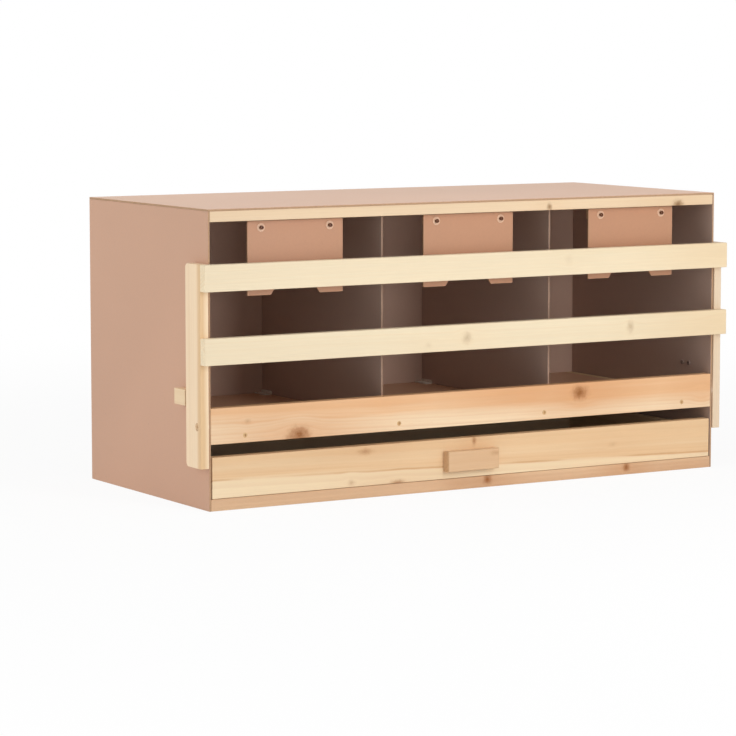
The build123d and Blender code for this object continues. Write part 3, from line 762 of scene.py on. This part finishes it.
# The entry at 470 mm with no darkness is no knot: its tint is painted shade towards the right end.
upper_bar_knots_and_end_shade = [(168.0, 4.0, 11.0, 0.8, 0.1, 0.1), (470.0, 0.0, 16.0, 1.2, 0.0, 0.6)]
pine_material("upper_perch_bar", lie_along_x, bar_cut, upper_bar_knots_and_end_shade)
lower_bar_knots_and_end_shade = [
    (-22.0, -1.0, 11.0, 0.9, 0.4, 0.2),
    (288.0, 1.0, 12.0, 0.7, 0.4, 0.2),
    (-92.0, -8.5, 5.0, 1.5, 0.15, 0.2),
    # At 470 mm no knot: only a tint, painted shade where the light falls off towards the right end.
    (470.0, 0.0, 16.0, 1.4, 0.0, 0.7),
]
lower_bar_cut = {
    **bar_cut,
    "Pith": (0.0, 0.05, -0.1),
    "Slope": (0.0, 0.0, -0.006),
    "Lines": 0.18,
    "Seed": 67.0,
}
pine_material("lower_perch_bar", lie_along_x, lower_bar_cut, lower_bar_knots_and_end_shade)
dowel_cut = {**plain_pine, "Ring Width": 0.002, "Wander": 0.002, "Seed": 71.0}
pine_material("perch_dowels", lie_along_y, dowel_cut)
put_on("left_pivot_washer", bright_zinc)
put_on("right_pivot_washer", bright_zinc)


# Egg drawer: a pine front and thinner pine sides and back on a hardboard bottom, doweled at the
# corners. A grooved pine pull is screwed on from behind.
front_cut = {
    "Sapwood": tone(241, 218, 181),
    "Heartwood": tone(229, 192, 148),
    "Latewood": tone(204, 152, 102),
    "Pith": (0.0, 0.05, 0.06),
    "Slope": (0.0, 0.0, -0.02),
    "Ring Width": 0.0056,
    "Heart Radius": 0.0937,
    "Lines": 0.16,
    "Seam": 0.8,
    "Streaks": 0.35,
    "End Light": 1.0,
    "Seed": 83.0,
}
front_knots = [
    (-195.0, 22.0, 6.0, 2.8, 0.4, 0.4),
    (2.7, 26.0, 9.0, 0.5, 0.65, 0.4),
    (-220.0, -24.0, 6.5, 1.3, 0.25, 0.1),
    (-137.0, -31.0, 6.5, 2.2, 0.6, 0.4),
    (268.0, 1.5, 5.0, 2.0, 0.12, 0.2),
]
pine_material("drawer_front", lie_along_x, front_cut, front_knots)
handle_cut = {
    "Sapwood": tone(228, 195, 155),
    "Heartwood": tone(220, 183, 143),
    "Latewood": tone(206, 156, 110),
    "Pith": (0.0, 0.04, 0.03),
    "Heart Radius": 0.2,
    "Lines": 0.2,
    "End Light": 0.89,
    "Seed": 91.0,
}
pine_material("drawer_handle", lie_along_x, handle_cut, [(40.0, 9.0, 5.0, 2.4, 0.22, 0.3)])
wall_cut = {**plain_pine, "Pith": (0.0, 0.05, 0.06), "Heart Radius": 0.05, "Seed": 97.0}
pine_material("left_drawer_side", lie_along_y, wall_cut, [(90.0, 6.0, 6.0, 1.2, 0.5, 0.4)])
right_wall_cut = {**wall_cut, "Seed": 99.1}
pine_material("right_drawer_side", lie_along_y, right_wall_cut, [(-40.0, 4.0, 7.0, 1.2, 0.7, 0.5)])
# The drawer back gets darker pine than its sides: painted shade for the dark inside of the slot.
shade_dark_drawer_wall = {**wall_cut, "Sapwood": tone(214, 188, 154), "Pith": (0.0, 0.05, -0.03), "Seed": 101.2}
pine_material("drawer_back", lie_along_x, shade_dark_drawer_wall, [(-50.0, 6.0, 6.0, 1.3, 0.6, 0.4)])
board_material("drawer_bottom", (0, 0, 1), nest_brown, screen_brown, divider_sawn)
pine_material("drawer_dowels", lie_along_y, {**dowel_cut, "Seed": 73.0})


# Ground and backdrop: one wide white sheet under the box and white all round it. The sheet keeps
# a soft shadow of the box, lies in the dark under it, and runs out to pure white farther off.
sheet_size = 14.0
sheet_glow = 0.9
fade_start = 0.7
fade_end = 2.4
foot_fade = 0.03
paper_white = (0.97, 0.97, 0.97, 1.0)
pure_white = (1.0, 1.0, 1.0, 1.0)
bpy.ops.mesh.primitive_plane_add(size=sheet_size)
ground = bpy.context.object
ground.name = "ground"
paper, paper_tree, paper_shader, paper_place = material("white_paper")
paper_shader["Base Color"].default_value = paper_white
paper_shader["Roughness"].default_value = 0.9
paper_shader["Specular IOR Level"].default_value = 0.1
white = add(paper_tree, "ShaderNodeEmission", {"Color": pure_white, "Strength": 1.0})


def seen_directly(tree):
    """1 for what the camera sees, also in metal or through glass, and 0 for light on its way."""
    path = tree.nodes.new("ShaderNodeLightPath").outputs
    seen = maths(tree, "MAXIMUM", path["Is Camera Ray"], path["Is Glossy Ray"])
    return maths(tree, "MAXIMUM", seen, path["Is Transmission Ray"])


from_box = vectors(paper_tree, "LENGTH", paper_place["Object"])
fading = ramp(paper_tree, from_box, fade_start, fade_end, sheet_glow, 1.0)
foot_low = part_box("left_side_panel")[0]
foot_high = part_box("right_side_panel")[1]
half_foot = (foot_high - foot_low) / 2
off_middle = vectors(paper_tree, "SUBTRACT", paper_place["Object"], (foot_low + foot_high) / 2)
off_middle = vectors(paper_tree, "ABSOLUTE", off_middle)
past_foot = split(paper_tree, vectors(paper_tree, "SUBTRACT", off_middle, half_foot))
beside_box = ramp(paper_tree, maths(paper_tree, "MAXIMUM", past_foot[0], past_foot[1]), -foot_fade, 0.0)
fading = maths(paper_tree, "MULTIPLY", fading, beside_box)
glow = maths(paper_tree, "MULTIPLY", seen_directly(paper_tree), fading)
plain = paper_tree.nodes["Principled BSDF"].outputs[0]
both = add(paper_tree, "ShaderNodeMixShader", {0: glow, 1: plain, 2: white.outputs[0]})
paper_tree.links.new(both.outputs[0], paper_tree.nodes["Material Output"].inputs["Surface"])
ground.data.materials.append(paper)


# Studio light: even white light from all round, a large soft light overhead on the left, a fill
# on the left, and a tall narrow one in front that reaches the back and the floor of the nests.
room_light = 0.5
room = bpy.data.worlds.new("room")
room.use_nodes = True
bpy.context.scene.world = room
room_tree = room.node_tree
around = room_tree.nodes["Background"]
around.inputs["Color"].default_value = pure_white
around.inputs["Strength"].default_value = room_light
backdrop = add(room_tree, "ShaderNodeBackground", {"Color": pure_white, "Strength": 1.0})
seen = seen_directly(room_tree)
either = add(room_tree, "ShaderNodeMixShader", {0: seen, 1: around.outputs[0], 2: backdrop.outputs[0]})
room_tree.links.new(either.outputs[0], room_tree.nodes["World Output"].inputs["Surface"])


def soft_light(name, place, aim, width, height, power):
    """A flat studio light that looks at a point."""
    lamp = bpy.data.lights.new(name, "AREA")
    lamp.shape = "RECTANGLE"
    lamp.size = width
    lamp.size_y = height
    lamp.energy = power
    made = bpy.data.objects.new(name, lamp)
    bpy.context.scene.collection.objects.link(made)
    made.location = place
    away = made.location.copy()
    away.x -= aim[0]
    away.y -= aim[1]
    away.z -= aim[2]
    made.rotation_euler = away.to_track_quat("Z", "Y").to_euler()


box_middle = (0.0, 0.0, 0.2)
straight_ahead = (0.2, 0.0, 0.95)
soft_light("overhead_light", (-0.8, -0.8, 3.4), box_middle, width=2.4, height=2.4, power=16.0)
soft_light("left_light", (-3.2, 0.3, 1.2), box_middle, width=1.8, height=1.8, power=23.5)
soft_light("front_light", (0.3, -2.25, 0.95), straight_ahead, width=0.5, height=1.4, power=21.8)


# Camera: on the left in front of the box and a little above it. It stands far back with a long
# lens, so that upright edges stay nearly parallel.
camera_place = (-2.5891, -4.2059, 0.7117)
camera_down = 0.109
camera_turn = -0.5386
camera_lens = 150.83
film_width = 36.0
view_reach = 60.0
camera = bpy.data.objects.new("camera", bpy.data.cameras.new("camera"))
bpy.context.scene.collection.objects.link(camera)
camera.location = camera_place
camera.rotation_euler = (math.pi / 2 - camera_down, 0.0, camera_turn)
camera.data.sensor_width = film_width
camera.data.lens = camera_lens
camera.data.clip_end = view_reach
bpy.context.scene.camera = camera
bpy.context.scene.view_settings.view_transform = "Standard"
